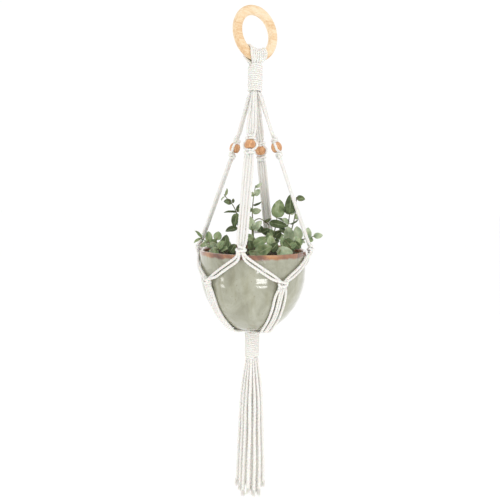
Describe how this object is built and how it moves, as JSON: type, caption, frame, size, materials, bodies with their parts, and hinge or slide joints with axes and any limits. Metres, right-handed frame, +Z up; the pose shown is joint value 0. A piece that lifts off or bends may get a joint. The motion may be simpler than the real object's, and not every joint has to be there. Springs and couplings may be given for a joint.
{
  "type": "hanging macrame planter",
  "caption": "Hanging macrame plant holder with a wooden ring, wooden beads, a glazed bowl in a cord cradle, trailing greenery and a tassel.",
  "frame": {"origin": "the hook seat: the lowest point inside the top of the wooden ring", "axes": "+Z up, away from the planter; the ring lies in the XZ plane, so +Y is along the ring's hole"},
  "size_m": [0.1786, 0.1783, 0.7321],
  "materials": {
    "ring_beech": "turned and sanded beech, unvarnished",
    "cotton_cord": "three-ply twisted natural cotton",
    "bead_wood": "stained and waxed",
    "stoneware_glaze": "sage reactive glaze with a brown rim",
    "potting_foam": "dark foam with moss",
    "eucalyptus_leaf": "matte artificial leaves"
  },
  "bodies": {
    "ring": {"wooden_ring": "ring_beech"},
    "loops": {"ring_loops": "cotton_cord"},
    "hanger": {"top_wrap": "cotton_cord", "top_core": "cotton_cord", "upper_sennit_1": "cotton_cord", "upper_sennit_2": "cotton_cord", "upper_sennit_3": "cotton_cord", "upper_sennit_4": "cotton_cord", "bead_tie_1": "cotton_cord", "bead_tie_2": "cotton_cord", "bead_tie_3": "cotton_cord", "bead_tie_4": "cotton_cord", "lower_sennit_1": "cotton_cord", "lower_sennit_2": "cotton_cord", "lower_sennit_3": "cotton_cord", "lower_sennit_4": "cotton_cord", "rim_knot_1": "cotton_cord", "rim_knot_2": "cotton_cord", "rim_knot_3": "cotton_cord", "rim_knot_4": "cotton_cord", "cradle_arms_1": "cotton_cord", "cradle_arms_2": "cotton_cord", "cradle_arms_3": "cotton_cord", "cradle_arms_4": "cotton_cord", "cradle_knot_1": "cotton_cord", "cradle_knot_2": "cotton_cord", "cradle_knot_3": "cotton_cord", "cradle_knot_4": "cotton_cord", "cradle_drop_1": "cotton_cord", "cradle_drop_2": "cotton_cord", "cradle_drop_3": "cotton_cord", "cradle_drop_4": "cotton_cord", "bottom_core": "cotton_cord", "bottom_wrap": "cotton_cord"},
    "bead_1": {"bead_1": "bead_wood"},
    "bead_2": {"bead_2": "bead_wood"},
    "bead_3": {"bead_3": "bead_wood"},
    "bead_4": {"bead_4": "bead_wood"},
    "planter": {"bowl": "stoneware_glaze", "potting_foam": "potting_foam", "eucalyptus_left": "eucalyptus_leaf", "eucalyptus_right": "eucalyptus_leaf", "eucalyptus_back": "eucalyptus_leaf"},
    "tassel_neck": {"tassel_neck": "cotton_cord"},
    "tassel": {"tassel_strand_01": "cotton_cord", "tassel_strand_02": "cotton_cord", "tassel_strand_03": "cotton_cord", "tassel_strand_04": "cotton_cord", "tassel_strand_05": "cotton_cord", "tassel_strand_06": "cotton_cord", "tassel_strand_07": "cotton_cord", "tassel_strand_08": "cotton_cord", "tassel_strand_09": "cotton_cord", "tassel_strand_10": "cotton_cord", "tassel_strand_11": "cotton_cord", "tassel_strand_12": "cotton_cord", "tassel_strand_13": "cotton_cord", "tassel_strand_14": "cotton_cord", "tassel_strand_15": "cotton_cord", "tassel_strand_16": "cotton_cord"}
  },
  "joints": [
    {"name": "loops_slide", "type": "hinge", "parent": "ring", "child": "loops", "pos_m": [0, 0, -0.026], "axis": [0, 1, 0], "range_deg": [-40, 40]},
    {"name": "hanger_swing", "type": "hinge", "parent": "loops", "child": "hanger", "pos_m": [0, 0, -0.088], "axis": [1, 0, 0], "range_deg": [-30, 30]},
    {"name": "bead_1_spin", "type": "hinge", "parent": "hanger", "child": "bead_1", "pos_m": [0.02528, 0.01705, -0.1943], "axis": [0.2613, 0.1763, -0.949], "continuous": true},
    {"name": "bead_2_spin", "type": "hinge", "parent": "hanger", "child": "bead_2", "pos_m": [-0.01929, 0.02299, -0.1943], "axis": [-0.1992, 0.2373, -0.9508], "continuous": true},
    {"name": "bead_3_spin", "type": "hinge", "parent": "hanger", "child": "bead_3", "pos_m": [-0.0235, -0.02116, -0.1943], "axis": [-0.2391, -0.2153, -0.9468], "continuous": true},
    {"name": "bead_4_spin", "type": "hinge", "parent": "hanger", "child": "bead_4", "pos_m": [0.02164, -0.02579, -0.1943], "axis": [0.2069, -0.2466, -0.9468], "continuous": true},
    {"name": "planter_turn", "type": "hinge", "parent": "hanger", "child": "planter", "pos_m": [0, 0, -0.3461], "axis": [0, 0, 1], "range_deg": [-8, 8]},
    {"name": "neck_sway", "type": "hinge", "parent": "hanger", "child": "tassel_neck", "pos_m": [0, 0, -0.4946], "axis": [0, 1, 0], "range_deg": [-30, 30]},
    {"name": "tassel_swing", "type": "hinge", "parent": "tassel_neck", "child": "tassel", "pos_m": [0, 0, -0.4946], "axis": [1, 0, 0], "range_deg": [-30, 30]}
  ]
}
